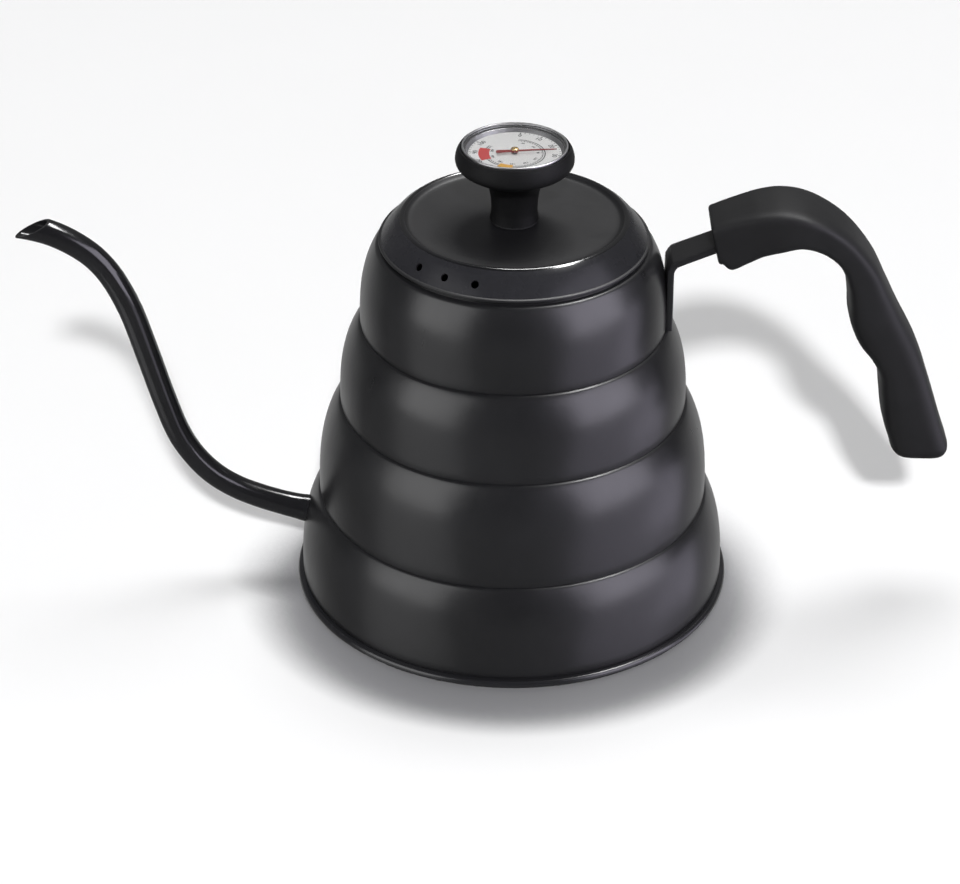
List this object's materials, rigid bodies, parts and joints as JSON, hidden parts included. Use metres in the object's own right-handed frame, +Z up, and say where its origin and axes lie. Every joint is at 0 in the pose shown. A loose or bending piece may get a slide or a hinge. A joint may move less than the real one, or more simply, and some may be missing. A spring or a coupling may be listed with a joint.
{
  "type": "gooseneck kettle",
  "caption": "Tiered conical pouring kettle with a thin S-shaped spout, an open hook handle and a lift-off lid whose knob holds a dial thermometer.",
  "frame": {"origin": "centre of the flat underside of the base, on the kettle's own axis", "axes": "+Z up along the body's axis, -X towards the spout, +X towards the handle, +Y completes the right-handed frame"},
  "size_m": [0.3101, 0.148, 0.1617],
  "materials": {
    "black_lacquer": "satin black lacquer on steel",
    "black_bakelite": "moulded matte black bakelite",
    "stainless_steel": "brushed",
    "zinc_steel": "zinc plated",
    "silicone": "matte silicone rubber",
    "clear_glass": "clear",
    "dial_white": "printed matte white",
    "pointer_red": "dark red paint",
    "brass": "turned brass",
    "bimetal": "rolled strip"
  },
  "bodies": {
    "kettle": {"body_shell": "black_lacquer", "base_plate": "black_lacquer", "spout_tube": "black_lacquer", "handle_bracket": "black_lacquer", "handle_grip": "black_bakelite", "grip_screw_1": "zinc_steel", "grip_screw_2": "zinc_steel"},
    "lid": {"lid_cover": "black_lacquer", "lid_skirt": "stainless_steel", "lid_knob": "black_bakelite", "knob_seal": "silicone", "knob_bolt": "zinc_steel", "knob_washer": "stainless_steel", "knob_nut": "zinc_steel", "thermometer_case": "stainless_steel", "dial_plate": "dial_white", "lens_gasket": "silicone", "dial_lens": "clear_glass", "dial_bezel": "stainless_steel", "stem_tube": "stainless_steel", "stem_plug": "stainless_steel", "spindle_bush_upper": "brass", "spindle_bush_lower": "brass", "bimetal_coil": "bimetal"},
    "pointer": {"pointer": "pointer_red", "pointer_hub": "brass", "spindle": "stainless_steel"}
  },
  "joints": [
    {"name": "lid_lift", "type": "slide", "parent": "kettle", "child": "lid", "axis": [0, 0, 1], "range_m": [0, 0.12]},
    {"name": "pointer_turn", "type": "hinge", "parent": "lid", "child": "pointer", "pos_m": [0, 0, 0.15905], "axis": [0, 0, -1], "range_deg": [-76, 220]}
  ]
}
